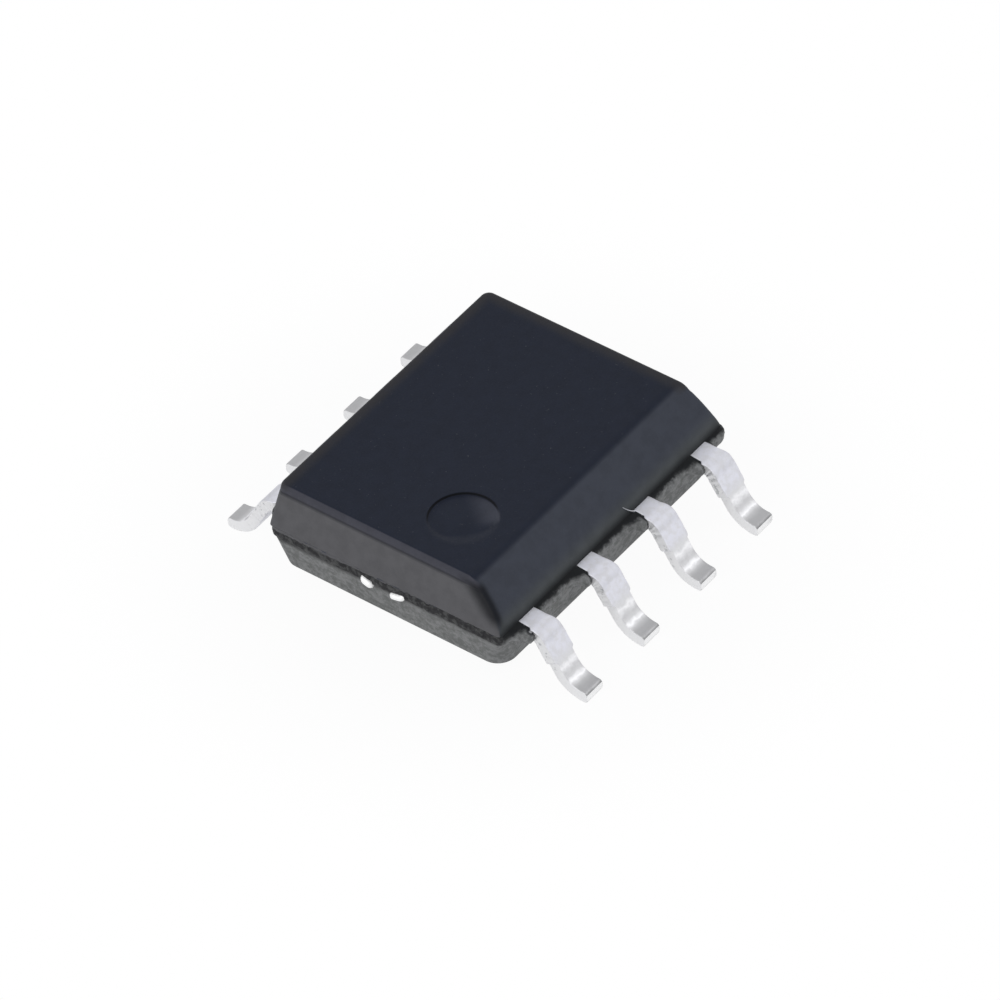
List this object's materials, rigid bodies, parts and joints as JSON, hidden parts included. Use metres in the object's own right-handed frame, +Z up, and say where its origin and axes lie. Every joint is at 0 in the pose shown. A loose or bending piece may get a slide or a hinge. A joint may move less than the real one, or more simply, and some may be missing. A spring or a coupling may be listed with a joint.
{
  "type": "operational amplifier chip",
  "caption": "Flat black moulded small-outline package with one bevelled long edge, a round corner dimple and tinned gull-wing leads; amplifies the difference between two voltages.",
  "frame": {"origin": "under the middle of the body, on the seating plane that the feet stand on", "axes": "+X along the body, +Y across it from leads 1-4 to leads 5-8, +Z up out of the marked face"},
  "size_m": [0.005, 0.006, 0.0016],
  "materials": {
    "moulding_compound": "fine spark-eroded mould texture, slightly satin, black epoxy",
    "tinned_copper": "matte tin plating on copper alloy, bright where the tool rubbed",
    "copper_frame": "bare copper alloy, tinned only on its trimmed ends",
    "silver_paste": "cured silver-filled epoxy paste",
    "silicon": "polished silicon with a glassy coat",
    "gold_wire": "drawn gold wire"
  },
  "bodies": {
    "root": {"moulded_body": "moulding_compound", "lead_1": "tinned_copper", "lead_2": "tinned_copper", "lead_3": "tinned_copper", "lead_4": "tinned_copper", "lead_5": "tinned_copper", "lead_6": "tinned_copper", "lead_7": "tinned_copper", "lead_8": "tinned_copper", "die_pad": "copper_frame", "die_attach": "silver_paste", "silicon_die": "silicon", "bond_wire_1": "gold_wire", "bond_wire_2": "gold_wire", "bond_wire_3": "gold_wire", "bond_wire_4": "gold_wire", "bond_wire_5": "gold_wire", "bond_wire_6": "gold_wire", "bond_wire_7": "gold_wire", "bond_wire_8": "gold_wire"}
  },
  "joints": []
}
